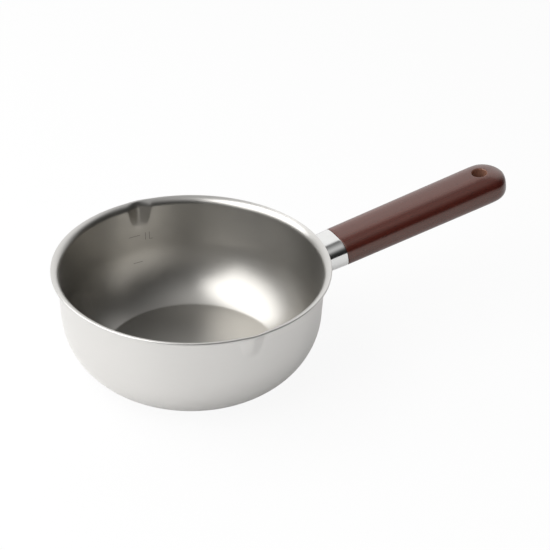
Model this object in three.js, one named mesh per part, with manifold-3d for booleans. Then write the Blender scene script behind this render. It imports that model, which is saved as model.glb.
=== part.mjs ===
import * as THREE from "three";
import { mergeVertices } from "three/addons/utils/BufferGeometryUtils.js";
import Module from "manifold-3d";

// A single-handled pouring saucepan: a pressed steel bowl with a flared rim and two spouts, an oval
// steel socket welded to its wall, and a wooden grip that one screw holds in the socket.
// Millimetres, +Z up. The origin is the middle of the flat base and the handle points along +X.

const degrees = Math.PI / 180;

// Bowl: one pressed sheet, from the flat base through the round corner and the wall to the flared rim
const bowlHeight = 76;
const rimRadius = 95;
const baseRadius = 62.5;
const sheet = 1.5;
const cornerRadius = 48;
const wallTaper = 2.6 * degrees;
const flareRadius = 6;
const flareAngle = 76 * degrees;

// Spouts: a tapering channel pressed out of the rim and the wall on each side of the handle
const spoutAngles = [90 * degrees, 270 * degrees];
const spoutLength = 18;
const spoutWidth = 21;
const spoutFootWidth = 14;
const spoutReach = 1;
const spoutRidgeRounding = 0.22;

// Handle axis: it leaves the wall this far below the rim and rises outwards
const handleDrop = 20.7;
const handleTilt = 10.5 * degrees;
const ovalPower = 2.8;

// Socket: an oval tube that widens from its root on the wall to its mouth
const socketLength = 24.2;
const rootHalfWidth = 15.5;
const rootHalfHeight = 9.9;
const mouthHalfWidth = 16.4;
const mouthHalfHeight = 10.7;
const socketWall = 1.2;
const weldBead = 1.5;

// Grip: widens from the socket to its rounded end, with a tenon inside the socket and a hanging hole
const gripLength = 140.4;
const gripHalfWidth = 17.6;
const gripHalfHeight = 11.5;
const gripEdgeChamfer = 0.4;
const endRoundWidth = 14.5;
const endRoundHeight = 22;
const endFlatHeight = 0.36;
const tenonRoom = 5;
const tenonChamfer = 1;
const hangHoleFromEnd = 18.7;
const hangHoleRadius = 5.6;
const hangHoleRim = 0.7;

// Screw: enters the socket from below, halfway along the tenon
const screwRadius = 1.8;
const screwHeadRadius = 3.6;
const screwHeadHeight = 2.2;
const screwLength = 13;
const screwPoint = 3;

// Clearances between the pieces
const weldGap = 0.3;
const tenonGap = 0.3;
const shoulderGap = 0.3;
const screwGap = 0.3;

// Smoothness
const ovalSides = 40;
const cornerSteps = 7;
const wallSteps = 4;
const flareSteps = 5;
const spoutSteps = 8;
const plainSteps = 34;
const beadSteps = 3;
const endSteps = 8;
const gripSteps = 3;
const holeSides = 24;
const holeRimSteps = 3;
const headSteps = 4;

const wasm = await Module();
wasm.setup();
const { lerp } = THREE.MathUtils;

// A closed body through rings of points: capped at its two ends, or joined end to end as a tube
function loft(rings, joined = false) {
  const sides = rings[0].length;
  const points = rings.flat();
  const faces = [];
  const strips = joined ? rings.length : rings.length - 1;
  for (let row = 0; row < strips; row += 1) {
    const near = row * sides;
    const far = ((row + 1) % rings.length) * sides;
    for (let side = 0; side < sides; side += 1) {
      const next = (side + 1) % sides;
      faces.push(near + side, near + next, far + next, near + side, far + next, far + side);
    }
  }
  if (!joined) {
    const last = (rings.length - 1) * sides;
    const caps = [points.push(middle(rings[0])) - 1, points.push(middle(rings.at(-1))) - 1];
    for (let side = 0; side < sides; side += 1) {
      const next = (side + 1) % sides;
      faces.push(caps[0], next, side, caps[1], last + side, last + next);
    }
  }
  const geometry = new THREE.BufferGeometry().setFromPoints(points);
  geometry.setIndex(faces);
  return geometry;
}

function middle(ring) {
  const sum = new THREE.Vector3();
  ring.forEach((point) => sum.add(point));
  return sum.divideScalar(ring.length);
}

function toSolid(geometry) {
  const bare = geometry.clone();
  bare.deleteAttribute("normal");
  bare.deleteAttribute("uv");
  const merged = mergeVertices(bare);
  const vertProperties = new Float32Array(merged.getAttribute("position").array);
  const triVerts = new Uint32Array(merged.getIndex().array);
  return new wasm.Manifold(new wasm.Mesh({ numProp: 3, vertProperties, triVerts }));
}

function cut(geometry, ...tools) {
  let solid = toSolid(geometry);
  for (const tool of tools) solid = solid.subtract(toSolid(tool));
  const { vertProperties, triVerts } = solid.getMesh();
  const result = new THREE.BufferGeometry();
  result.setAttribute("position", new THREE.BufferAttribute(vertProperties, 3));
  result.setIndex(new THREE.BufferAttribute(triVerts, 1));
  return result;
}

// A turned solid standing on the handle's own up axis, from (radius, height) pairs
function turned(profile, sides) {
  const points = profile.map(([radius, height]) => new THREE.Vector2(radius, height));
  return new THREE.LatheGeometry(points, sides).rotateX(Math.PI / 2);
}

// Bowl section in (radius, height): the flare is an arc outside the neck, the corner one inside the wall
const neck = new THREE.Vector2(
  rimRadius - flareRadius * (Math.cos(wallTaper) - Math.cos(flareAngle)),
  bowlHeight - (flareRadius + sheet) * Math.sin(flareAngle) + flareRadius * Math.sin(wallTaper),
);
const wallNormal = new THREE.Vector2(Math.cos(wallTaper), -Math.sin(wallTaper));
const flareCentre = neck.clone().addScaledVector(wallNormal, flareRadius);
const cornerCentre = findCornerCentre();
const cornerTop = cornerCentre.clone().addScaledVector(wallNormal, cornerRadius);

// The corner arc leaves the edge of the base and runs into the wall without a kink
function findCornerCentre() {
  const slope = Math.tan(wallTaper);
  const offset = (neck.dot(wallNormal) - cornerRadius) / Math.cos(wallTaper);
  const run = baseRadius - offset;
  const square = 1 + slope ** 2;
  const height = (run * slope + Math.sqrt(cornerRadius ** 2 * square - run ** 2)) / square;
  return new THREE.Vector2(offset + height * slope, height);
}

function wallRadius(height) {
  return neck.x - (neck.y - height) * Math.tan(wallTaper);
}

// Radius of the bowl's outer face at a height: the corner below, the wall, and the flare above
function outerRadius(height) {
  if (height < cornerTop.y) {
    return cornerCentre.x + Math.sqrt(Math.max(cornerRadius ** 2 - (cornerCentre.y - height) ** 2, 0));
  }
  if (height > neck.y) {
    return flareCentre.x - Math.sqrt(Math.max(flareRadius ** 2 - (height - flareCentre.y) ** 2, 0));
  }
  return wallRadius(height);
}

function onArc(centre, radius, angle) {
  return new THREE.Vector2(centre.x + radius * Math.cos(angle), centre.y + radius * Math.sin(angle));
}

// Stations up the sheet, each a point on its outer face and the point on its inner face
function bowlStations() {
  const stations = [];
  const innerRadius = cornerRadius - sheet;
  const outerStart = -Math.asin(cornerCentre.y / cornerRadius);
  const innerStart = -Math.asin((cornerCentre.y - sheet) / innerRadius);
  for (let step = 0; step <= cornerSteps; step += 1) {
    const share = step / cornerSteps;
    stations.push({
      outer: onArc(cornerCentre, cornerRadius, lerp(outerStart, -wallTaper, share)),
      inner: onArc(cornerCentre, innerRadius, lerp(innerStart, -wallTaper, share)),
    });
  }
  for (let step = 1; step < wallSteps; step += 1) {
    const outer = cornerTop.clone().lerp(neck, step / wallSteps);
    stations.push({ outer, inner: outer.clone().addScaledVector(wallNormal, -sheet) });
  }
  for (let step = 0; step <= flareSteps; step += 1) {
    const angle = Math.PI - lerp(wallTaper, flareAngle, step / flareSteps);
    stations.push({
      outer: onArc(flareCentre, flareRadius, angle),
      inner: onArc(flareCentre, flareRadius + sheet, angle),
    });
  }
  return stations;
}

// How far a spout pushes the sheet outwards: its ridge runs straight from past the rim to its foot
function spoutPush({ x: radius, y: height }, angle) {
  const down = (bowlHeight - height) / spoutLength;
  if (down >= 1) return 0;
  const ridge = lerp(rimRadius + spoutReach, wallRadius(bowlHeight - spoutLength), down);
  const halfWidth = lerp(spoutWidth, spoutFootWidth, down) / 2;
  const aside = Math.min(...spoutAngles.map((spout) => asideOf(radius, angle - spout)));
  const share = Math.min(aside / halfWidth, 1);
  const full = Math.hypot(1, spoutRidgeRounding);
  const fold = (full - Math.hypot(share, spoutRidgeRounding)) / (full - spoutRidgeRounding);
  return Math.max(ridge - radius, 0) * fold;
}

function asideOf(radius, turn) {
  return Math.cos(turn) > 0 ? Math.abs(radius * Math.sin(turn)) : Infinity;
}

// Directions round the bowl: close together across each spout, even between the spouts
function bowlAngles() {
  const angles = [];
  const half = Math.asin(spoutWidth / 2 / neck.x);
  spoutAngles.forEach((spout, index) => {
    for (let step = -spoutSteps; step < spoutSteps; step += 1) {
      angles.push(spout + (half * step) / spoutSteps);
    }
    const turn = index + 1 < spoutAngles.length ? 0 : 2 * Math.PI;
    const next = spoutAngles[(index + 1) % spoutAngles.length] + turn;
    for (let step = 0; step < plainSteps; step += 1) {
      angles.push(lerp(spout + half, next - half, step / plainSteps));
    }
  });
  return angles;
}

function bowlRing(station, point, angles) {
  return angles.map((angle) => {
    const radius = point.x + spoutPush(station.outer, angle);
    return new THREE.Vector3(radius * Math.cos(angle), radius * Math.sin(angle), point.y);
  });
}

function panBody() {
  const angles = bowlAngles();
  const stations = bowlStations();
  const outside = stations.map((station) => bowlRing(station, station.outer, angles));
  const inside = stations.map((station) => bowlRing(station, station.inner, angles));
  return loft([...outside, ...inside.reverse()]);
}

// Handle pieces are drawn along the handle's axis: x outwards from the bowl's axis, y across, z up
const rootHeight = bowlHeight - handleDrop;
const handleHeight = rootHeight - outerRadius(rootHeight) * Math.tan(handleTilt);

function oval(halfWidth, halfHeight) {
  const outline = [];
  for (let side = 0; side < ovalSides; side += 1) {
    const angle = (2 * Math.PI * side) / ovalSides;
    const across = Math.sign(Math.cos(angle)) * Math.abs(Math.cos(angle)) ** (2 / ovalPower);
    const up = Math.sign(Math.sin(angle)) * Math.abs(Math.sin(angle)) ** (2 / ovalPower);
    outline.push([halfWidth * across, halfHeight * up]);
  }
  return outline;
}

function ovalRing(along, halfWidth, halfHeight) {
  return oval(halfWidth, halfHeight).map(([across, up]) => new THREE.Vector3(along, across, up));
}

// Where a line along the handle meets the outside of the bowl's wall, less the weld gap
function wallSeat(across, up) {
  let along = rimRadius;
  for (let pass = 0; pass < 12; pass += 1) {
    const height = handleHeight + along * Math.sin(handleTilt) + up * Math.cos(handleTilt);
    const reach = Math.sqrt((outerRadius(height) + weldGap) ** 2 - across ** 2);
    along = (reach + up * Math.sin(handleTilt)) / Math.cos(handleTilt);
  }
  return along;
}

function seatedRing(growth, away) {
  const outline = oval(rootHalfWidth + growth, rootHalfHeight + growth);
  return outline.map(([across, up]) => new THREE.Vector3(wallSeat(across, up) + away, across, up));
}

// Places along the handle's axis
const socketRoot = wallSeat(0, 0);
const socketEnd = socketRoot + socketLength;
const tenonStart = wallSeat(0, rootHalfHeight) + tenonRoom;
const screwPlace = (tenonStart + socketEnd) / 2;
const gripEnd = socketEnd + gripLength;
const hangHolePlace = gripEnd - hangHoleFromEnd;

function socketRing(along, inset) {
  const share = (along - socketRoot) / socketLength;
  const halfWidth = lerp(rootHalfWidth, mouthHalfWidth, share);
  const halfHeight = lerp(rootHalfHeight, mouthHalfHeight, share);
  return ovalRing(along, halfWidth - inset, halfHeight - inset);
}

// Underside of the socket where the screw's head sits
const screwSeat = -lerp(rootHalfHeight, mouthHalfHeight, (screwPlace - socketRoot) / socketLength);

// A straight hole from below the socket to the end of the screw
function screwHole() {
  const radius = screwRadius + screwGap;
  const bottom = screwSeat - socketWall;
  const top = screwSeat + screwLength + screwGap;
  const profile = [[0, bottom], [radius, bottom], [radius, top], [0, top]];
  return turned(profile, holeSides).translate(screwPlace, 0, 0);
}

function handleSocket() {
  const rings = [];
  for (let step = 0; step <= beadSteps; step += 1) {
    const angle = (Math.PI / 2) * (step / beadSteps);
    rings.push(seatedRing(weldBead * (1 - Math.sin(angle)), weldBead * (1 - Math.cos(angle))));
  }
  rings.push(socketRing(socketEnd - shoulderGap, 0));
  rings.push(socketRing(socketEnd - shoulderGap, socketWall));
  rings.push(seatedRing(-socketWall, 0));
  return cut(loft(rings, true), screwHole());
}

// How much of its full size the grip keeps at a distance from its end
function endShare(fromEnd, roundLength) {
  const into = Math.max(1 - fromEnd / roundLength, 0);
  return Math.sqrt(1 - into ** 2);
}

function gripRing(along, inset = 0) {
  const share = (along - socketEnd) / gripLength;
  const fromEnd = gripEnd - along;
  const width = lerp(mouthHalfWidth, gripHalfWidth, share) * endShare(fromEnd, endRoundWidth);
  const height = lerp(mouthHalfHeight, gripHalfHeight, share);
  const crown = lerp(endFlatHeight, 1, endShare(fromEnd, endRoundHeight));
  return ovalRing(along, width - inset, height * crown - inset);
}

// The hanging hole goes straight through the grip, with a rounded rim on its upper and lower faces
function hangHole() {
  const share = (hangHolePlace - socketEnd) / gripLength;
  const into = endShare(hangHoleFromEnd, endRoundHeight);
  const face = lerp(mouthHalfHeight, gripHalfHeight, share) * lerp(endFlatHeight, 1, into);
  const clear = gripHalfHeight + hangHoleRim;
  const rim = [];
  for (let step = 0; step <= holeRimSteps; step += 1) {
    const angle = (Math.PI / 2) * (step / holeRimSteps);
    const radius = hangHoleRadius + hangHoleRim * (1 - Math.cos(angle));
    rim.push([radius, face - hangHoleRim * (1 - Math.sin(angle))]);
  }
  const widest = hangHoleRadius + hangHoleRim;
  const upper = [...rim, [widest, clear], [0, clear]];
  const lower = upper.map(([radius, height]) => [radius, -height]).reverse();
  return turned([...lower, ...upper], holeSides).translate(hangHolePlace, 0, 0);
}

function handleGrip() {
  const tenonInset = socketWall + tenonGap;
  const rings = [
    socketRing(tenonStart, tenonInset + tenonChamfer),
    socketRing(tenonStart + tenonChamfer, tenonInset),
    socketRing(socketEnd, tenonInset),
    gripRing(socketEnd, gripEdgeChamfer),
  ];
  const bodyStart = socketEnd + gripEdgeChamfer;
  const bodyEnd = gripEnd - endRoundHeight;
  for (let step = 0; step < gripSteps; step += 1) {
    rings.push(gripRing(lerp(bodyStart, bodyEnd, step / gripSteps)));
  }
  for (let step = 0; step < endSteps; step += 1) {
    const angle = (Math.PI / 2) * (step / endSteps);
    rings.push(gripRing(gripEnd - endRoundHeight * (1 - Math.sin(angle))));
  }
  return cut(loft(rings), hangHole(), screwHole());
}

// A domed head below the socket, and a pointed shank going up into the tenon
function handleScrew() {
  const seat = screwSeat - screwGap;
  const tip = screwSeat + screwLength;
  const profile = [];
  for (let step = 0; step <= headSteps; step += 1) {
    const angle = (Math.PI / 2) * (step / headSteps);
    profile.push([screwHeadRadius * Math.sin(angle), seat - screwHeadHeight * Math.cos(angle)]);
  }
  profile.push([screwRadius, seat], [screwRadius, tip - screwPoint], [0, tip]);
  return turned(profile, holeSides).translate(screwPlace, 0, 0);
}

function piece(name, geometry, color, roughness, metalness) {
  const mesh = new THREE.Mesh(geometry, new THREE.MeshStandardMaterial({ color, roughness, metalness }));
  mesh.name = name;
  return mesh;
}

const handle = new THREE.Group();
handle.position.z = handleHeight;
handle.rotation.y = -handleTilt;
handle.add(piece("handle_socket", handleSocket(), 0xd9d9d6, 0.15, 1));
handle.add(piece("handle_grip", handleGrip(), 0x4a211b, 0.45, 0));
handle.add(piece("handle_screw", handleScrew(), 0xb9b9b6, 0.3, 1));

const saucepan = new THREE.Group();
saucepan.add(piece("pan_body", panBody(), 0xb8b5b0, 0.35, 1));
saucepan.add(handle);

export default saucepan;
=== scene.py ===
import math

import bmesh
import bpy
import numpy as np
from mathutils import Matrix, Vector


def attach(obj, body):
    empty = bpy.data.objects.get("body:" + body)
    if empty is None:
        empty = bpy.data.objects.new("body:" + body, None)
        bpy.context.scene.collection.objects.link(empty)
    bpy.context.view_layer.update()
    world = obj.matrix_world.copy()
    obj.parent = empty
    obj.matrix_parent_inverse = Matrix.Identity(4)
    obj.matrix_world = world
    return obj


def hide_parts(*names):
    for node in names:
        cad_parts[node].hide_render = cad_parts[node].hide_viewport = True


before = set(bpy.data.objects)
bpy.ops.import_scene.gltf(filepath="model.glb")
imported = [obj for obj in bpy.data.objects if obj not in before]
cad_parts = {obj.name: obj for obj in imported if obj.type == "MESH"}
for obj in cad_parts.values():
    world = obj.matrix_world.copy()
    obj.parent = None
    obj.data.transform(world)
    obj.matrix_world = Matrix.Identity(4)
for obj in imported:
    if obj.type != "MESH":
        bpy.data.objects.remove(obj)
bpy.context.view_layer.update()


# Pan body: a bowl pressed from one sheet of stainless steel, with a flat base, a rim flared outwards and
# a pouring spout pressed out of the rim on each side of the handle. It was turned against an abrasive
# belt, so fine scratches run round it. Its colour is darker inside than outside, as painted shade inside the
# bowl.
mm = 0.001
bowl_height = 76 * mm
rim_radius = 95 * mm
base_radius = 62.5 * mm
sheet = 1.5 * mm
corner_radius = 48 * mm
wall_taper = math.radians(2.6)
neck_drop = 7.0 * mm
neck_inset = 4.54 * mm
flare_radius = 4 * mm
flare_angle = math.radians(72)
base_rounding = 3 * mm
floor_rounding = 1.2 * mm
lip_rounding = 0.55 * mm
spout_length = 18 * mm
spout_width = 21 * mm
spout_foot_width = 12 * mm
spout_inset = 0.9 * mm
spout_reach = 0.42 * mm
spout_depth = 3 * mm
outside_steel = (0.70, 0.687, 0.665, 1), (0.77, 0.757, 0.735, 1)
# The inside colours are darker copies of the outside steel: painted shade inside the bowl.
shaded_inside_steel = (0.45, 0.437, 0.412, 1), (0.52, 0.506, 0.478, 1)
scratches_per_metre = 2600
scratch_shortness = 7
brushed_roughness = 0.3, 0.36

wall_out = np.array((math.cos(wall_taper), -math.sin(wall_taper)))
neck = np.array((rim_radius - neck_inset, bowl_height - neck_drop))
flare_across = np.array((-math.cos(flare_angle), math.sin(flare_angle)))
flare_along = np.array((math.sin(flare_angle), math.cos(flare_angle)))
outer_lip = np.array((rim_radius, bowl_height - sheet * math.sin(flare_angle)))


def find_flare_centre():
    """The middle of the bend that joins the wall to the straight flare."""
    sides = np.array((wall_out, -flare_across))
    offsets = neck @ wall_out + flare_radius, flare_radius - outer_lip @ flare_across
    return np.linalg.solve(sides, offsets)


flare_centre = find_flare_centre()
flare_length = (outer_lip - flare_centre) @ flare_along


def find_corner_centre():
    """The middle of the arc that leaves the edge of the base and runs into the wall without a kink."""
    slope = math.tan(wall_taper)
    offset = (neck @ wall_out - corner_radius) / math.cos(wall_taper)
    run = base_radius - offset
    square = 1 + slope ** 2
    height = (run * slope + math.sqrt(corner_radius ** 2 * square - run ** 2)) / square
    return np.array((offset + height * slope, height))


corner_centre = find_corner_centre()
corner_top = corner_centre + corner_radius * wall_out


def wall_radius(height):
    return neck[0] - (neck[1] - height) * math.tan(wall_taper)


def arc(centre, radius, start, end, steps):
    angles = np.linspace(start, end, steps + 1)
    return np.stack([centre[0] + radius * np.cos(angles), centre[1] + radius * np.sin(angles)], -1)


def bend(start, corner, end, steps):
    """A rounded corner between two points, without the points themselves."""
    share = np.linspace(0, 1, steps + 2)[1:-1, None]
    return start * (1 - share) ** 2 + 2 * corner * share * (1 - share) + end * share ** 2


def sheet_face(depth, crease_rounding):
    """Points up one face of the sheet, from the crease at the base to the rounding of the lip."""
    radius = corner_radius - depth
    start = -math.asin((corner_centre[1] - depth) / radius) + crease_rounding / radius
    corner = arc(corner_centre, radius, start, -wall_taper, 18)
    roll = arc(flare_centre, flare_radius + depth, math.pi - wall_taper, math.pi - flare_angle, 10)
    flare = roll[-1] + np.linspace(0, flare_length - lip_rounding, 9)[1:, None] * flare_along
    share = np.linspace(0, 1, 25)[1:-1, None]
    return np.concatenate([corner, corner[-1] * (1 - share) + roll[0] * share, roll, flare])


def disc(height, edge):
    """Points from the middle of a flat disc to its edge."""
    radii = edge * np.linspace(0, 1, 9) ** 1.4
    return np.stack([radii, np.full(len(radii), height)], -1)


def bowl_section():
    """The whole outline of the cut sheet, and for each point the place on its outer face beside it."""
    outer = sheet_face(0, base_rounding)
    inner = sheet_face(sheet, floor_rounding)
    inner_lip = outer_lip + sheet * flare_across
    lip_start = outer_lip + lip_rounding * flare_across
    lip_end = inner_lip - lip_rounding * flare_across
    lip = np.concatenate([
        bend(outer[-1], outer_lip, lip_start, 3),
        [lip_start, lip_end],
        bend(lip_end, inner_lip, inner[-1], 3),
    ])
    floor_edge = corner_centre[0] + math.sqrt(
        (corner_radius - sheet) ** 2 - (corner_centre[1] - sheet) ** 2)
    base = disc(0, base_radius - base_rounding)
    floor = disc(sheet, floor_edge - floor_rounding)
    base_bend = bend(base[-1], np.array((base_radius, 0)), outer[0], 4)
    floor_bend = bend(inner[0], np.array((floor_edge, sheet)), floor[-1], 4)
    below = np.concatenate([base, base_bend])
    above = np.concatenate([floor_bend, floor[::-1]])
    points = np.concatenate([below, outer, lip, inner[::-1], above])
    share = np.array((0.25, 0.5, 0.75, 1.0))[:, None]
    beside_lip = outer[-1] * (1 - share) + outer_lip * share
    beside = np.concatenate([below, outer, beside_lip, beside_lip[::-1], outer[::-1], above])
    return points, beside


def in_plane(points):
    """(radius, height) points as points in space, on the side of the handle."""
    return np.stack([points[:, 0], np.zeros(len(points)), points[:, 1]], -1)


def new_piece(name, vertices, faces):
    mesh = bpy.data.meshes.new(name)
    mesh.from_pydata([tuple(map(float, vertex)) for vertex in vertices], [], faces)
    piece = bpy.data.objects.new(name, mesh)
    bpy.context.scene.collection.objects.link(piece)
    return piece


def place(tree, kind, values=(), **settings):
    """A new node in a tree, with its inputs set or linked by name or number."""
    node = tree.nodes.new(kind)
    for name, setting in settings.items():
        setattr(node, name, setting)
    for key, value in dict(values).items():
        if isinstance(value, bpy.types.NodeSocket):
            tree.links.new(value, node.inputs[key])
        else:
            node.inputs[key].default_value = value
    return node


def reckon(tree, operation, *terms):
    """The result of a sum in a tree."""
    return place(tree, "ShaderNodeMath", enumerate(terms), operation=operation).outputs[0]


def pressed_bowl_tree(sizes):
    """Turns a section round the bowl's axis and presses the two spouts out of it."""
    tree = bpy.data.node_groups.new("pressed_bowl", "GeometryNodeTree")
    tree.is_modifier = True
    tree.interface.new_socket("Bowl", in_out="OUTPUT", socket_type="NodeSocketGeometry")
    tree.interface.new_socket("Section", in_out="INPUT", socket_type="NodeSocketGeometry")
    for name, size in sizes.items():
        kind = {int: "NodeSocketInt", float: "NodeSocketFloat"}.get(type(size), "NodeSocketMaterial")
        tree.interface.new_socket(name, in_out="INPUT", socket_type=kind)
    size = place(tree, "NodeGroupInput").outputs
    rows = place(tree, "GeometryNodeAttributeDomainSize", {"Geometry": size["Section"]}).outputs[0]
    columns = reckon(tree, "ADD", size["Directions"], 1.0)
    grid = place(tree, "GeometryNodeMeshGrid", {"Vertices X": columns, "Vertices Y": rows})
    index = place(tree, "GeometryNodeInputIndex").outputs[0]
    numbers = {0: index, 1: rows}
    column = place(tree, "FunctionNodeIntegerMath", numbers, operation="DIVIDE_FLOOR").outputs[0]
    row = place(tree, "FunctionNodeIntegerMath", numbers, operation="MODULO").outputs[0]

    def on_section(value, kind):
        sample = place(tree, "GeometryNodeSampleIndex", data_type=kind)
        tree.links.new(size["Section"], sample.inputs["Geometry"])
        tree.links.new(value, sample.inputs["Value"])
        tree.links.new(row, sample.inputs["Index"])
        return sample.outputs[0]

    def named(name, kind):
        return place(tree, "GeometryNodeInputNamedAttribute", {"Name": name}, data_type=kind).outputs[0]

    point = on_section(place(tree, "GeometryNodeInputPosition").outputs[0], "FLOAT_VECTOR")
    beside = on_section(named("beside", "FLOAT_VECTOR"), "FLOAT_VECTOR")
    run = on_section(named("run", "FLOAT"), "FLOAT")
    point = place(tree, "ShaderNodeSeparateXYZ", {0: point}).outputs
    beside = place(tree, "ShaderNodeSeparateXYZ", {0: beside}).outputs

    share = reckon(tree, "DIVIDE", column, size["Directions"])
    turn = reckon(tree, "MULTIPLY", share, math.tau)
    sway = reckon(tree, "SINE", reckon(tree, "MULTIPLY", turn, 2.0))
    angle = reckon(tree, "MULTIPLY_ADD", sway, size["Crowding"], turn)
    cosine = reckon(tree, "COSINE", angle)
    sine = reckon(tree, "SINE", angle)

    down = reckon(tree, "SUBTRACT", size["Bowl Height"], beside["Z"])
    down = reckon(tree, "DIVIDE", down, size["Spout Length"])

    def falling(top, foot):
        return reckon(tree, "MULTIPLY_ADD", down, reckon(tree, "SUBTRACT", foot, top), top)

    ridge_top = reckon(tree, "SUBTRACT", size["Rim Radius"], size["Spout Inset"])
    depth = reckon(tree, "SUBTRACT", falling(ridge_top, size["Foot Radius"]), beside["X"])
    by_lip = reckon(tree, "MULTIPLY_ADD", down, size["Lip Fall"], 1.0)
    by_lip = reckon(tree, "MULTIPLY", reckon(tree, "MAXIMUM", by_lip, 0.0), size["Spout Reach"])
    depth = reckon(tree, "SMOOTH_MAX", depth, by_lip, size["Foot Rounding"])
    fullness = reckon(tree, "DIVIDE", depth, size["Spout Depth"])
    fullness = reckon(tree, "POWER", fullness, size["Spout Fullness"])
    depth = reckon(tree, "MULTIPLY", fullness, size["Spout Depth"])
    depth = reckon(tree, "MULTIPLY", depth, reckon(tree, "LESS_THAN", down, size["Spout End"]))
    width = falling(size["Spout Width"], size["Spout Foot Width"])
    width = reckon(tree, "MAXIMUM", width, size["Spout Foot Width"])
    aside = reckon(tree, "ABSOLUTE", reckon(tree, "MULTIPLY", beside["X"], cosine))
    aside = reckon(tree, "DIVIDE", reckon(tree, "MULTIPLY", aside, 2.0), width)
    rounding = reckon(tree, "POWER", size["Ridge Rounding"], 2.0)
    slant = reckon(tree, "SQRT", reckon(tree, "MULTIPLY_ADD", aside, aside, rounding))
    full = reckon(tree, "SQRT", reckon(tree, "ADD", rounding, 1.0))
    fold = reckon(tree, "SUBTRACT", full, slant)
    fold = reckon(tree, "SMOOTH_MAX", fold, 0.0, size["Border Rounding"])
    fold = reckon(tree, "DIVIDE", fold, reckon(tree, "SUBTRACT", full, size["Ridge Rounding"]))
    radius = reckon(tree, "MULTIPLY_ADD", depth, fold, point["X"])

    across = reckon(tree, "MULTIPLY", radius, cosine)
    away = reckon(tree, "MULTIPLY", radius, sine)
    spot = place(tree, "ShaderNodeCombineXYZ", {0: across, 1: away, 2: point["Z"]}).outputs[0]
    turned = place(tree, "GeometryNodeSetPosition", {
        "Geometry": grid.outputs["Mesh"], "Position": spot})
    brushing = place(tree, "ShaderNodeCombineXYZ", {0: run, 1: share}).outputs[0]
    brushing = place(tree, "GeometryNodeFieldOnDomain", {0: brushing}, data_type="FLOAT_VECTOR")
    mapped = place(tree, "GeometryNodeStoreNamedAttribute", {
        "Geometry": turned.outputs[0], "Name": "brushing", "Value": brushing.outputs[0],
    }, data_type="FLOAT2", domain="CORNER")
    closed = place(tree, "GeometryNodeMergeByDistance", {
        "Geometry": mapped.outputs[0], "Distance": size["Seam"]})
    smooth = place(tree, "GeometryNodeSetShadeSmooth", {"Geometry": closed.outputs[0]})
    real = place(tree, "GeometryNodeRealizeInstances", {"Geometry": smooth.outputs[0]})
    finished = place(tree, "GeometryNodeSetMaterial", {
        "Geometry": real.outputs[0], "Material": size["Finish"]})
    place(tree, "NodeGroupOutput", {0: finished.outputs[0]})
    return tree


def grow(piece, tree, sizes):
    """Runs a tree on a piece and leaves its result as the piece's plain mesh."""
    modifier = piece.modifiers.new("made", "NODES")
    modifier.node_group = tree
    for item in tree.interface.items_tree:
        if item.in_out == "INPUT" and item.name in sizes:
            modifier[item.identifier] = sizes[item.name]
    evaluated = piece.evaluated_get(bpy.context.evaluated_depsgraph_get())
    mesh = bpy.data.meshes.new_from_object(evaluated)
    piece.modifiers.clear()
    piece.data = mesh


def new_finish(name, metallic):
    material = bpy.data.materials.new(name)
    material.use_nodes = True
    shader = material.node_tree.nodes["Principled BSDF"]
    shader.inputs["Metallic"].default_value = metallic
    return material, material.node_tree, shader


def object_place(tree):
    return place(tree, "ShaderNodeTexCoord").outputs["Object"]


def noise(tree, spot, scale, detail, roughness=0.5, distortion=0.0):
    return place(tree, "ShaderNodeTexNoise", {
        "Vector": spot, "Scale": scale, "Detail": detail,
        "Roughness": roughness, "Distortion": distortion}).outputs[0]


def blend(tree, share, colours):
    """The colour that lies a share of the way from one colour to another."""
    first, second = colours
    return place(tree, "ShaderNodeMix", {
        "Factor": share, 6: first, 7: second}, data_type="RGBA").outputs[2]


def remap(tree, value, span, result=(0.0, 1.0), interpolation="LINEAR"):
    """Carries a value over from one span to another."""
    return place(tree, "ShaderNodeMapRange", {
        "Value": value, "From Min": span[0], "From Max": span[1],
        "To Min": result[0], "To Max": result[1]}, interpolation_type=interpolation).outputs[0]


def relief(tree, height, strength, depth):
    return place(tree, "ShaderNodeBump", {
        "Height": height, "Strength": strength, "Distance": depth}).outputs[0]


def dress(tree, shader, sockets):
    for name, output in sockets.items():
        tree.links.new(output, shader.inputs[name])


def brushed_steel(neck_run, wall_run):
    """Steel with fine scratches round the bowl, across which its highlights stretch. Its colour is darker
    inside: painted shade inside the bowl.
    """
    material, tree, shader = new_finish("brushed_steel", metallic=1.0)
    uv = place(tree, "ShaderNodeUVMap", uv_map="brushing").outputs[0]
    uv = place(tree, "ShaderNodeSeparateXYZ", {0: uv}).outputs
    turn = reckon(tree, "MULTIPLY", uv["Y"], math.tau)
    along = place(tree, "ShaderNodeCombineXYZ", {
        0: reckon(tree, "MULTIPLY", uv["X"], scratches_per_metre),
        1: reckon(tree, "MULTIPLY", reckon(tree, "COSINE", turn), scratch_shortness),
        2: reckon(tree, "MULTIPLY", reckon(tree, "SINE", turn), scratch_shortness),
    }).outputs[0]
    scratches = noise(tree, along, scale=1, detail=4, roughness=0.65)
    cloud = noise(tree, object_place(tree), scale=22, detail=2)
    tone = reckon(tree, "MULTIPLY_ADD", cloud, 0.5, reckon(tree, "MULTIPLY", scratches, 0.5))
    inside = remap(tree, uv["X"], (neck_run, wall_run), interpolation="SMOOTHSTEP")
    bright = blend(tree, tone, outside_steel)
    # The darker inside colour is painted shade inside the bowl, on the same steel as the outside.
    painted_shade_tone = blend(tree, tone, shaded_inside_steel)
    tangent = place(tree, "ShaderNodeTangent", direction_type="UV_MAP", uv_map="brushing")
    dress(tree, shader, {
        "Base Color": blend(tree, inside, (bright, painted_shade_tone)),
        "Roughness": remap(tree, tone, (0.25, 0.75), brushed_roughness),
        "Normal": relief(tree, scratches, strength=0.06, depth=0.02 * mm),
        "Tangent": tangent.outputs[0],
    })
    shader.inputs["Anisotropic"].default_value = 0.7
    return material


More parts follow.
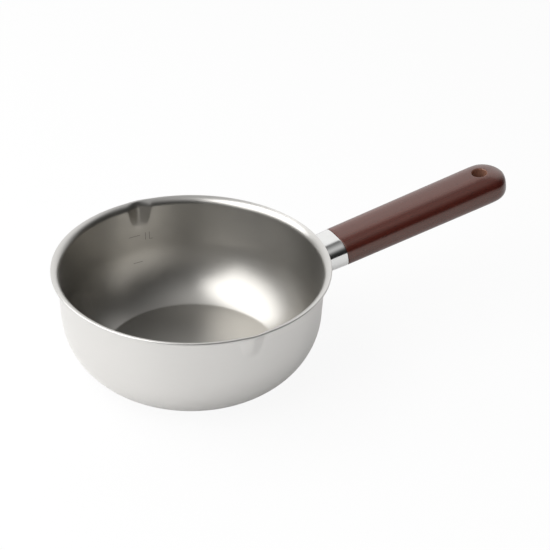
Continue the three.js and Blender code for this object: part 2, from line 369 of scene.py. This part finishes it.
section_points, section_beside = bowl_section()
pan_body = new_piece("bowl", in_plane(section_points), [])
steps_along = np.linalg.norm(np.diff(section_points, axis=0), axis=1)
section_run = np.concatenate([[0], np.cumsum(steps_along)])
rim_run = float(section_run[np.argmax(section_points[:, 1])])
neck_run = rim_run - flare_length
wall_run = rim_run + flare_length + (flare_radius + sheet) * flare_angle
pan_body.data.attributes.new("run", "FLOAT", "POINT").data.foreach_set("value", section_run)
pan_body.data.attributes.new("beside", "FLOAT_VECTOR", "POINT").data.foreach_set(
    "vector", in_plane(section_beside).ravel())
pan_steel = brushed_steel(neck_run, wall_run)
bowl_sizes = {
    "Directions": 480,
    "Crowding": 0.35,
    "Rim Radius": rim_radius,
    "Bowl Height": bowl_height,
    "Spout Length": spout_length,
    "Spout Width": spout_width,
    "Spout Foot Width": spout_foot_width,
    "Spout Inset": spout_inset,
    "Spout Reach": spout_reach,
    "Spout Depth": spout_depth,
    "Spout Fullness": 0.7,
    "Spout End": 1.4,
    "Lip Fall": -3.0,
    "Foot Radius": float(wall_radius(bowl_height - spout_length)),
    "Ridge Rounding": 0.18,
    "Border Rounding": 0.16,
    "Foot Rounding": 0.6 * mm,
    "Seam": 0.001 * mm,
    "Finish": pan_steel,
}
grow(pan_body, pressed_bowl_tree(bowl_sizes), bowl_sizes)
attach(pan_body, "root")
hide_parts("pan_body")


# Graduation marks: two short level lines and a figure below the far spout, etched into the inside of the
# wall. The acid leaves them dull and a little darker than the steel round them.
mark_proud = 0.02 * mm
mark_sunk = 0.05 * mm
line_height = 0.4 * mm
stroke = 0.36 * mm
litre_height = 50.5 * mm
half_litre_height = 29.4 * mm
figure_foot = 46.0 * mm
figure_top = 52.0 * mm
etched_colours = (0.25, 0.24, 0.225, 1), (0.33, 0.32, 0.30, 1)
etched_roughness = 0.55, 0.7


def inner_wall(height):
    """Radius of the inside of the bowl, and which way that face looks, at a height."""
    if height < corner_top[1]:
        reach = corner_radius - sheet
        angle = -math.asin((corner_centre[1] - height) / reach)
        out = np.array((math.cos(angle), math.sin(angle)))
        return corner_centre[0] + reach * out[0], -out
    return wall_radius(height) - sheet / math.cos(wall_taper), -wall_out


def on_wall(aside, height, lift):
    """A point near the inner wall: a way round it from the spout, a height, and a lift off its face."""
    radius, out = inner_wall(height)
    angle = math.pi / 2 + aside / radius
    radius += lift * out[0]
    return radius * math.cos(angle), radius * math.sin(angle), height + lift * out[1]


def etched_bar(corners, steps):
    """A thin bar between two ends, each a pair of (aside, height) points, wrapped on the wall."""
    start_low, start_high, end_low, end_high = (np.array(corner) for corner in corners)
    vertices = []
    for share in np.linspace(0, 1, steps + 1):
        low = start_low * (1 - share) + end_low * share
        high = start_high * (1 - share) + end_high * share
        for (aside, height), lift in ((low, -mark_sunk), (low, mark_proud),
                                      (high, mark_proud), (high, -mark_sunk)):
            vertices.append(on_wall(aside, height, lift))
    faces = [(3, 2, 1, 0), tuple(4 * steps + side for side in range(4))]
    for step in range(steps):
        for side in range(4):
            near, far = 4 * step, 4 * step + 4
            turn = (side + 1) % 4
            faces.append((near + side, near + turn, far + turn, far + side))
    return vertices, faces


def level_line(start, end, height):
    low, high = height - line_height / 2, height + line_height / 2
    return etched_bar([(start, low), (start, high), (end, low), (end, high)], 12)


def upright(aside):
    left, right = aside + stroke / 2, aside - stroke / 2
    return etched_bar([(right, figure_foot), (left, figure_foot), (right, figure_top), (left, figure_top)], 6)


def etched_finish():
    material, tree, shader = new_finish("etched_steel", metallic=1.0)
    frost = noise(tree, object_place(tree), scale=4000, detail=2)
    dress(tree, shader, {
        "Base Color": blend(tree, frost, etched_colours),
        "Roughness": remap(tree, frost, (0.0, 1.0), etched_roughness),
    })
    return material


def joined_bars(name, bars):
    vertices, faces = [], []
    for bar_vertices, bar_faces in bars:
        faces += [tuple(len(vertices) + corner for corner in face) for face in bar_faces]
        vertices += bar_vertices
    return new_piece(name, vertices, faces)


graduation_marks = joined_bars("graduation_marks", [
    level_line(9.6 * mm, 0.6 * mm, litre_height),
    level_line(7.2 * mm, -0.2 * mm, half_litre_height),
    upright(-3.7 * mm),
    upright(-6.7 * mm),
    level_line(-6.9 * mm, -9.3 * mm, figure_foot + 0.25 * mm),
])
graduation_marks.data.materials.append(etched_finish())
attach(graduation_marks, "root")


# Handle socket: a short oval tube of polished stainless steel, drawn from sheet. Its root is cut to the
# round of the wall and welded there all round, and it opens slightly towards the grip.
handle_drop = 20.7 * mm
handle_tilt = math.radians(10.5)
oval_power = 2.8
oval_sides = 144
socket_length = 24.2 * mm
root_half_width = 15.5 * mm
root_half_height = 9.9 * mm
mouth_half_width = 16.4 * mm
mouth_half_height = 10.7 * mm
socket_wall = 1.2 * mm
weld_bead = 1.5 * mm
weld_bite = 0.1 * mm
weld_gap = 0.3 * mm
shoulder_gap = 0.3 * mm
mouth_rounding = 0.3 * mm
polished_colours = (0.80, 0.80, 0.79, 1), (0.86, 0.86, 0.85, 1)
polished_roughness = 0.1, 0.16
buffing_stretch = 120, 2600, 2600


def outer_radius(height):
    """Radius of the outside of the bowl at a height."""
    if height < corner_top[1]:
        return corner_centre[0] + math.sqrt(corner_radius ** 2 - (corner_centre[1] - height) ** 2)
    return wall_radius(height)


root_height = bowl_height - handle_drop
handle_height = root_height - outer_radius(root_height) * math.tan(handle_tilt)


def on_handle(points):
    """From (along, across, up) on the handle's axis to the pan's frame."""
    along, across, up = np.asarray(points).T
    cosine, sine = math.cos(handle_tilt), math.sin(handle_tilt)
    height = handle_height + along * sine + up * cosine
    return np.stack([along * cosine - up * sine, across, height], -1)


def wall_seat(across, up, gap):
    """Where a line along the handle meets the outside of the wall."""
    along = rim_radius
    for _ in range(12):
        height = handle_height + along * math.sin(handle_tilt) + up * math.cos(handle_tilt)
        reach = math.sqrt((outer_radius(height) + gap) ** 2 - across ** 2)
        along = (reach + up * math.sin(handle_tilt)) / math.cos(handle_tilt)
    return along


def oval(half_width, half_height):
    """A squarish oval, as (across, up) points spaced about evenly round it."""
    turn = np.arange(oval_sides) * math.tau / oval_sides
    angle = np.arctan2(half_height * np.sin(turn), half_width * np.cos(turn))
    across, up = np.cos(angle), np.sin(angle)
    reach = (np.abs(across / half_width) ** oval_power + np.abs(up / half_height) ** oval_power)
    reach = reach ** (-1 / oval_power)
    return np.stack([reach * across, reach * up], -1)


def oval_ring(along, half_width, half_height):
    outline = oval(half_width, half_height)
    return np.column_stack([np.full(len(outline), along), outline])


def loft_faces(count, joined):
    """Quads between rings of points, with the last ring joined to the first, or both ends capped."""
    faces = []
    for row in range(count if joined else count - 1):
        near, far = row * oval_sides, (row + 1) % count * oval_sides
        for side in range(oval_sides):
            turn = (side + 1) % oval_sides
            faces.append((near + side, near + turn, far + turn, far + side))
    if not joined:
        faces.append(tuple(reversed(range(oval_sides))))
        faces.append(tuple((count - 1) * oval_sides + side for side in range(oval_sides)))
    return faces


socket_root = wall_seat(0, 0, weld_gap)
socket_end = socket_root + socket_length


def socket_half_sizes(along):
    share = (along - socket_root) / socket_length
    return (root_half_width + share * (mouth_half_width - root_half_width),
            root_half_height + share * (mouth_half_height - root_half_height))


def socket_ring(along, inset):
    width, height = socket_half_sizes(along)
    return oval_ring(along, width - inset, height - inset)


def seated_ring(growth, away):
    """A ring that follows the round of the wall, a way off it."""
    outline = oval(root_half_width + growth, root_half_height + growth)
    along = [wall_seat(across, up, -weld_bite) + away for across, up in outline]
    return np.column_stack([along, outline])


def socket_rings():
    rings = [seated_ring(weld_bead, 0)]
    for angle in np.linspace(0, math.pi / 2, 9):
        away = weld_bite + weld_bead * (1 - math.cos(angle))
        rings.append(seated_ring(weld_bead * (1 - math.sin(angle)), away))
    root, mouth = rings[-1], socket_ring(socket_end - shoulder_gap - mouth_rounding, 0)
    rings += [root * (1 - share) + mouth * share for share in np.linspace(0, 1, 25)[1:]]
    for angle in np.linspace(0, math.pi / 2, 5)[1:]:
        along = socket_end - shoulder_gap - mouth_rounding * (1 - math.sin(angle))
        rings.append(socket_ring(along, mouth_rounding * (1 - math.cos(angle))))
    rings.append(socket_ring(socket_end - shoulder_gap, socket_wall))
    rings.append(seated_ring(-socket_wall, 0))
    return rings


def polished_steel():
    """Bright steel with the faint haze and fine lines that a buffing wheel leaves along the tube."""
    material, tree, shader = new_finish("polished_steel", metallic=1.0)
    spot = object_place(tree)
    grain = place(tree, "ShaderNodeMapping", {
        "Vector": spot, "Rotation": (0, handle_tilt, 0), "Scale": buffing_stretch}).outputs[0]
    lines = noise(tree, grain, scale=1, detail=3)
    haze = noise(tree, spot, scale=160, detail=2)
    tone = reckon(tree, "ADD", reckon(tree, "MULTIPLY", lines, 0.6), reckon(tree, "MULTIPLY", haze, 0.4))
    dress(tree, shader, {
        "Base Color": blend(tree, haze, polished_colours),
        "Roughness": remap(tree, tone, (0.3, 0.7), polished_roughness),
        "Normal": relief(tree, lines, strength=0.05, depth=0.01 * mm),
    })
    return material


rings = socket_rings()
handle_socket = new_piece("socket", on_handle(np.concatenate(rings)), loft_faces(len(rings), True))
handle_socket.data.shade_smooth()
handle_socket.data.set_sharp_from_angle(angle=math.radians(50))
handle_socket.data.materials.append(polished_steel())
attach(handle_socket, "root")
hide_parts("handle_socket")


# Handle grip: one piece of dark red-brown hardwood, turned and sanded to a squarish oval that widens
# towards its rounded end, and oiled to a satin. A tenon at its root fills the socket, and a hole with
# rounded rims is drilled through the end to hang the pan by.
grip_length = 140.4 * mm
grip_half_width = 17.6 * mm
grip_half_height = 11.47 * mm
grip_edge_rounding = 0.4 * mm
end_round_width = 14.5 * mm
end_round_height = 22 * mm
end_flat_height = 0.36
tenon_room = 5 * mm
tenon_gap = 0.3 * mm
tenon_chamfer = 1 * mm
hang_hole_from_end = 18.7 * mm
hang_hole_radius = 5.6 * mm
hang_hole_rim = 0.8 * mm
hole_patch = 9.5 * mm
end_flat = 0.45 * mm
dark_fibre = 0.058, 0.0085, 0.0055, 1
light_fibre = 0.112, 0.02, 0.013, 1
pore_colour = 0.02, 0.006, 0.005, 1
bare_wood = 0.29, 0.145, 0.1, 1
oiled_roughness = 0.29, 0.23
fibre_stretch = 14, 330, 330
band_stretch = 3, 60, 90
pore_stretch = 160, 2200, 2200

grip_end = socket_end + grip_length
grip_tip = grip_end - end_flat
hang_hole_place = grip_end - hang_hole_from_end
tenon_start = wall_seat(0, root_half_height, weld_gap) + tenon_room


def end_share(from_end, round_length):
    """How much of its full size the rounded end has, a way in from its tip."""
    into = max(1 - from_end / round_length, 0)
    return math.sqrt(1 - into ** 2)


def grip_half_sizes(along):
    share = (along - socket_end) / grip_length
    from_end = grip_end - along
    width = mouth_half_width + share * (grip_half_width - mouth_half_width)
    height = mouth_half_height + share * (grip_half_height - mouth_half_height)
    crown = end_flat_height + (1 - end_flat_height) * end_share(from_end, end_round_height)
    return width * end_share(from_end, end_round_width), height * crown


def grip_ring(along, inset=0.0):
    width, height = grip_half_sizes(along)
    return oval_ring(along, width - inset, height - inset)


def grip_crown(along, across):
    """Height of the grip's upper face above its axis."""
    width, height = grip_half_sizes(along)
    return height * (1 - abs(across / width) ** oval_power) ** (1 / oval_power)


def grip_places():
    """Where rings stand along the grip: even on the shaft and round the hole, crowded at the end."""
    hole_start, hole_stop = hang_hole_place - hole_patch, hang_hole_place + hole_patch
    shaft = np.linspace(socket_end + grip_edge_rounding, hole_start, 60)
    round_hole = np.linspace(hole_start, hole_stop, 15)
    turn = np.linspace(0, 1, 16)
    end = hole_stop + (grip_tip - hole_stop) * (1 - (1 - turn) ** 2)
    places = np.concatenate([shaft[:-1], round_hole[:-1], end])
    return places, len(shaft) - 1, len(shaft) + len(round_hole) - 2


def grip_mesh():
    inset = socket_wall + tenon_gap
    rings = [socket_ring(tenon_start, inset + tenon_chamfer),
             socket_ring(tenon_start + tenon_chamfer, inset),
             socket_ring(socket_end, inset)]
    for angle in np.linspace(0, math.pi / 2, 5)[:-1]:
        rings.append(grip_ring(socket_end + grip_edge_rounding * (1 - math.cos(angle)),
                               grip_edge_rounding * (1 - math.sin(angle))))
    places, hole_start, hole_stop = grip_places()
    hole_start, hole_stop = hole_start + len(rings), hole_stop + len(rings)
    rings += [grip_ring(along) for along in places]
    vertices = [tuple(point) for ring in rings for point in ring]
    quarter, reach = oval_sides // 4, oval_sides // 10
    faces = []
    for face in loft_faces(len(rings), False):
        row = min(face) // oval_sides
        beside_hole = hole_start <= row < hole_stop and len(face) == 4
        spread = [min(abs(corner % oval_sides - middle) for middle in (quarter, 3 * quarter))
                  for corner in face]
        if not (beside_hole and max(spread) <= reach):
            faces.append(face)

    def frame_of_hole(middle, step):
        """Corners of the square of faces left out round the hole, in order round it."""
        first, last = middle - reach * step, middle + reach * step
        sides = range(first, last, step)
        rows = range(hole_start, hole_stop)
        loop = [hole_start * oval_sides + side for side in sides]
        loop += [row * oval_sides + last for row in rows]
        loop += [hole_stop * oval_sides + side for side in range(last, first, -step)]
        loop += [row * oval_sides + first for row in reversed(range(hole_start + 1, hole_stop + 1))]
        return loop

    rim_turns = np.linspace(0, math.pi / 2, 6)
    hole_rings = {}
    for middle, step, up in ((quarter, 1, 1), (3 * quarter, -1, -1)):
        previous = frame_of_hole(middle, step)
        edge = [np.array(vertices[corner][:2]) - (hang_hole_place, 0) for corner in previous]
        angles = [math.atan2(across, along) for along, across in edge]
        spans = [np.linalg.norm(offset) for offset in edge]
        widest = hang_hole_radius + hang_hole_rim
        levels = [(lambda span, share=share: span + share * (widest - span), 0.0)
                  for share in (0.35, 0.65, 0.85, 1.0)]
        levels += [(lambda span, turn=turn: hang_hole_radius + hang_hole_rim * (1 - math.cos(turn)),
                    hang_hole_rim * (1 - math.sin(turn))) for turn in rim_turns[::-1][1:]]
        for spread, drop in levels:
            ring = []
            for angle, span in zip(angles, spans):
                along = hang_hole_place + spread(span) * math.cos(angle)
                across = spread(span) * math.sin(angle)
                ring.append(len(vertices))
                vertices.append((along, across, up * (grip_crown(along, across) - drop)))
            for corner in range(len(ring)):
                turn = (corner + 1) % len(ring)
                faces.append((previous[corner], previous[turn], ring[turn], ring[corner]))
            previous = ring
        hole_rings[up] = previous
    top, bottom = hole_rings[1], hole_rings[-1]
    previous = top
    for share in (0.25, 0.5, 0.75, 1.0):
        ring = bottom
        if share < 1:
            ring = []
            for high, low in zip(top, bottom):
                start, end = np.array(vertices[high]), np.array(vertices[low])
                ring.append(len(vertices))
                vertices.append(tuple(start * (1 - share) + end * share))
        for corner in range(len(top)):
            turn = (corner + 1) % len(top)
            faces.append((previous[corner], previous[turn], ring[turn], ring[corner]))
        previous = ring
    return np.array(vertices), faces


def turn_outwards(piece):
    """Turns every face of a closed mesh outwards."""
    work = bmesh.new()
    work.from_mesh(piece.data)
    bmesh.ops.recalc_face_normals(work, faces=work.faces)
    work.to_mesh(piece.data)
    work.free()


def oiled_wood():
    """Close-grained dark wood: long fibres and fine pores along the handle under a thin satin of oil."""
    material, tree, shader = new_finish("oiled_wood", metallic=0.0)
    grain = place(tree, "ShaderNodeMapping", {
        "Vector": object_place(tree), "Rotation": (0, handle_tilt, 0),
        "Location": (-handle_height * math.sin(handle_tilt), 0, -handle_height * math.cos(handle_tilt)),
    }).outputs[0]

    def stretched(scale):
        return place(tree, "ShaderNodeMapping", {"Vector": grain, "Scale": scale}).outputs[0]

    fibres = noise(tree, stretched(fibre_stretch), scale=1, detail=5, roughness=0.6, distortion=0.3)
    bands = noise(tree, stretched(band_stretch), scale=1, detail=3, distortion=0.6)
    pores = remap(tree, noise(tree, stretched(pore_stretch), scale=1, detail=2), (0.56, 0.7))
    tone = reckon(tree, "MULTIPLY_ADD", bands, 0.55, reckon(tree, "MULTIPLY", fibres, 0.45))
    ramp = place(tree, "ShaderNodeValToRGB", {0: tone})
    stops = ramp.color_ramp.elements
    stops[0].position, stops[0].color = 0.3, dark_fibre
    stops[1].position, stops[1].color = 0.7, light_fibre
    oiled = blend(tree, reckon(tree, "MULTIPLY", pores, 0.45), (ramp.outputs[0], pore_colour))
    from_hole = place(tree, "ShaderNodeVectorMath", {
        0: grain, 1: (-hang_hole_place, 0, 0)}, operation="ADD").outputs[0]
    from_hole = place(tree, "ShaderNodeVectorMath", {
        0: from_hole, 1: (1, 1, 0)}, operation="MULTIPLY").outputs[0]
    from_hole = place(tree, "ShaderNodeVectorMath", {0: from_hole}, operation="LENGTH").outputs["Value"]
    hole_edge = hang_hole_radius + 0.1 * mm, hang_hole_radius + 0.5 * mm
    bare = remap(tree, from_hole, hole_edge, (1.0, 0.0))
    depth = reckon(tree, "SUBTRACT", reckon(tree, "MULTIPLY", fibres, 0.4), pores)
    dress(tree, shader, {
        "Base Color": blend(tree, bare, (oiled, bare_wood)),
        "Roughness": remap(tree, tone, (0.3, 0.7), oiled_roughness),
        "Normal": relief(tree, depth, strength=0.25, depth=0.04 * mm),
    })
    shader.inputs["IOR"].default_value = 1.75
    shader.inputs["Specular Tint"].default_value = (1.0, 0.8, 0.7, 1)
    shader.inputs["Coat Weight"].default_value = 0.3
    shader.inputs["Coat Roughness"].default_value = 0.24
    return material


grip_vertices, grip_faces = grip_mesh()
handle_grip = new_piece("grip", on_handle(grip_vertices), grip_faces)
turn_outwards(handle_grip)
handle_grip.data.shade_smooth()
handle_grip.data.set_sharp_from_angle(angle=math.radians(50))
handle_grip.data.materials.append(oiled_wood())
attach(handle_grip, "root")
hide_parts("handle_grip")


# Handle screw: a steel screw with a domed head and a cross recess. It goes up through the underside of
# the socket into the tenon, and keeps the grip from pulling out.
screw_radius = 1.8 * mm
screw_head_radius = 3.6 * mm
screw_head_height = 2.2 * mm
screw_length = 13 * mm
screw_point = 3 * mm
screw_tip_radius = 0.15 * mm
screw_gap = 0.3 * mm
recess_reach = 2.1 * mm
recess_half_width = 0.42 * mm
recess_depth = 1.1 * mm
recess_flank = 0.18 * mm
recess_ramp = 0.9 * mm
screw_sides = 96
screw_colours = (0.60, 0.60, 0.59, 1), (0.72, 0.72, 0.71, 1)
screw_roughness = 0.22, 0.36

screw_place = (tenon_start + socket_end) / 2
screw_seat = -socket_half_sizes(screw_place)[1]


def cross_recess(across, along):
    """Depth of the cross in the head: two crossing slots with sloping ends."""
    depth = 0.0
    for side, length in ((across, along), (along, across)):
        flank = min(max((recess_half_width - abs(side)) / recess_flank + 0.5, 0), 1)
        reach = min(max((recess_reach - abs(length)) / recess_ramp, 0), 1)
        depth = max(depth, flank * reach * recess_depth)
    return depth


def screw_mesh():
    seat = screw_seat - screw_gap
    tip = screw_seat + screw_length
    head = []
    for radius in np.linspace(0, 1, 31)[1:] * screw_head_radius:
        dome = screw_head_height * math.sqrt(1 - (radius / screw_head_radius) ** 2)
        head.append((radius, seat - dome))
    shank = [(screw_radius, seat), (screw_radius, tip - screw_point), (screw_tip_radius, tip)]
    profile = head + shank
    vertices = [(0, 0, seat - screw_head_height + recess_depth)]
    for number, (radius, up) in enumerate(profile):
        for turn in np.arange(screw_sides) * math.tau / screw_sides:
            along, across = radius * math.cos(turn), radius * math.sin(turn)
            sunk = cross_recess(across, along) if number < len(head) - 1 else 0.0
            vertices.append((along, across, up + sunk))
    faces = []
    last = len(profile) - 1
    for side in range(screw_sides):
        turn = (side + 1) % screw_sides
        faces.append((0, 1 + turn, 1 + side))
        for row in range(last):
            near, far = 1 + row * screw_sides, 1 + (row + 1) * screw_sides
            faces.append((near + side, near + turn, far + turn, far + side))
    faces.append(tuple(1 + last * screw_sides + side for side in range(screw_sides)))
    return np.array(vertices) + (screw_place, 0, 0), faces


def plain_steel():
    material, tree, shader = new_finish("screw_steel", metallic=1.0)
    marks = noise(tree, object_place(tree), scale=900, detail=3)
    dress(tree, shader, {
        "Base Color": blend(tree, marks, screw_colours),
        "Roughness": remap(tree, marks, (0.0, 1.0), screw_roughness),
    })
    return material


screw_vertices, screw_faces = screw_mesh()
handle_screw = new_piece("screw", on_handle(screw_vertices), screw_faces)
turn_outwards(handle_screw)
handle_screw.data.shade_smooth()
handle_screw.data.set_sharp_from_angle(angle=math.radians(35))
handle_screw.data.materials.append(plain_steel())
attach(handle_screw, "root")
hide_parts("handle_screw")


# Studio: a pale painted floor, a room with a white back, a faintly lit ceiling and a dark side behind the
# camera, and one large soft lamp that hangs high on the left.
floor_reach = 4.0
floor_drop = 0.2 * mm
floor_paint = 0.93
floor_white_seen = 0.92
floor_white_mirrored = 0.22
lamp_turn = math.radians(168)
lamp_rise = math.radians(48)
lamp_distance = 1.2
lamp_width = 1.75
lamp_height = 1.2
lamp_power = 19.5
back_turn = math.radians(68)
back_spread = math.radians(45)
back_fade = math.radians(34)
back_top = math.radians(53.5)
back_top_fade = 0.07
back_strength = 1.15
room_strength = 0.02
ceiling_patches = (    # turn and rise in degrees, tightness, strength
    (22, 60, 16, 0.28),
    (215, 76, 10, 0.75),
)
camera_place = (-0.3621, -0.7800, 0.6136)
camera_pitch = math.radians(32.402)
camera_heading = math.radians(28.66)
camera_roll = math.radians(1.867)
camera_lens = 98.18


def direction(turn, rise):
    return (math.cos(rise) * math.cos(turn), math.cos(rise) * math.sin(turn), math.sin(rise))


def floor_finish():
    """Pale paint that keeps the pan's shadow, under a white seen by the camera and by mirroring steel."""
    material = bpy.data.materials.new("pale_floor")
    material.use_nodes = True
    tree = material.node_tree
    tree.nodes.clear()
    path = place(tree, "ShaderNodeLightPath").outputs
    mirrored = reckon(tree, "MAXIMUM", path["Is Glossy Ray"], path["Is Transmission Ray"])
    share = reckon(tree, "MAXIMUM", reckon(tree, "MULTIPLY", path["Is Camera Ray"], floor_white_seen),
                   reckon(tree, "MULTIPLY", mirrored, floor_white_mirrored))
    paint = place(tree, "ShaderNodeBsdfDiffuse", {
        "Color": (floor_paint, floor_paint, floor_paint, 1)}).outputs[0]
    glow = place(tree, "ShaderNodeEmission", {"Color": (1, 1, 1, 1), "Strength": 1.0}).outputs[0]
    mixed = place(tree, "ShaderNodeMixShader", {0: share, 1: paint, 2: glow}).outputs[0]
    place(tree, "ShaderNodeOutputMaterial", {"Surface": mixed})
    return material


floor_corners = [(across * floor_reach, away * floor_reach, -floor_drop)
                 for across, away in ((-1, -1), (1, -1), (1, 1), (-1, 1))]
floor = new_piece("floor", floor_corners, [(0, 1, 2, 3)])
floor.data.materials.append(floor_finish())

soft_box = bpy.data.lights.new("soft_box", "AREA")
soft_box.shape = "RECTANGLE"
soft_box.size = lamp_width
soft_box.size_y = lamp_height
soft_box.energy = lamp_power
lamp_holder = bpy.data.objects.new("soft_box", soft_box)
lamp_holder.location = Vector(direction(lamp_turn, lamp_rise)) * lamp_distance
lamp_holder.rotation_mode = "QUATERNION"
lamp_holder.rotation_quaternion = (-lamp_holder.location).to_track_quat("-Z", "Y")
lamp_holder.visible_camera = False
bpy.context.scene.collection.objects.link(lamp_holder)


def white_back(tree, towards):
    """How much of the room's white back lies in a direction: it fades to both sides and ends above."""
    part = place(tree, "ShaderNodeSeparateXYZ", {0: towards}).outputs
    bearing = reckon(tree, "ARCTAN2", part["Y"], part["X"])
    aside = reckon(tree, "ABSOLUTE", reckon(tree, "SUBTRACT", bearing, back_turn))
    sides = back_spread - back_fade, back_spread + back_fade
    across = remap(tree, aside, sides, (1.0, 0.0), interpolation="SMOOTHSTEP")
    top = math.sin(back_top) - back_top_fade, math.sin(back_top) + back_top_fade
    below = remap(tree, part["Z"], top, (1.0, 0.0), interpolation="SMOOTHSTEP")
    return reckon(tree, "MULTIPLY", across, below)


def room_light(tree, towards, back):
    """Light from the white back and two faint patches of ceiling, with a dark side behind the camera."""
    level = reckon(tree, "MULTIPLY_ADD", back, back_strength, room_strength)
    for turn, rise, tightness, strength in ceiling_patches:
        facing = place(tree, "ShaderNodeVectorMath", {
            0: towards, 1: direction(math.radians(turn), math.radians(rise)),
        }, operation="DOT_PRODUCT").outputs["Value"]
        fade = reckon(tree, "EXPONENT", reckon(tree, "MULTIPLY_ADD", facing, tightness, -tightness))
        level = reckon(tree, "MULTIPLY_ADD", fade, strength, level)
    return level


room = bpy.data.worlds.new("room")
room.use_nodes = True
room_tree = room.node_tree
room_tree.nodes.clear()
room_path = place(room_tree, "ShaderNodeLightPath").outputs
towards = place(room_tree, "ShaderNodeTexCoord").outputs["Generated"]
back = white_back(room_tree, towards)
level = room_light(room_tree, towards, back)
fill = place(room_tree, "ShaderNodeBackground", {"Color": (1, 1, 1, 1), "Strength": level}).outputs[0]
white = place(room_tree, "ShaderNodeBackground", {"Color": (1, 1, 1, 1), "Strength": 1.0}).outputs[0]
mirrored = reckon(room_tree, "MULTIPLY", room_path["Is Glossy Ray"], back)
seen = reckon(room_tree, "MAXIMUM", room_path["Is Camera Ray"], room_path["Is Transmission Ray"])
seen = reckon(room_tree, "MAXIMUM", seen, mirrored)
room_mix = place(room_tree, "ShaderNodeMixShader", {0: seen, 1: fill, 2: white}).outputs[0]
place(room_tree, "ShaderNodeOutputWorld", {"Surface": room_mix})
bpy.context.scene.world = room

camera = bpy.data.cameras.new("camera")
camera.lens = camera_lens
camera.clip_start = 0.05
camera_holder = bpy.data.objects.new("camera", camera)
camera_turn = (Matrix.Rotation(-camera_heading, 4, "Z")
               @ Matrix.Rotation(math.pi / 2 - camera_pitch, 4, "X")
               @ Matrix.Rotation(camera_roll, 4, "Z"))
camera_holder.matrix_world = Matrix.Translation(camera_place) @ camera_turn
bpy.context.scene.collection.objects.link(camera_holder)
bpy.context.scene.camera = camera_holder
bpy.context.scene.view_settings.view_transform = "Standard"
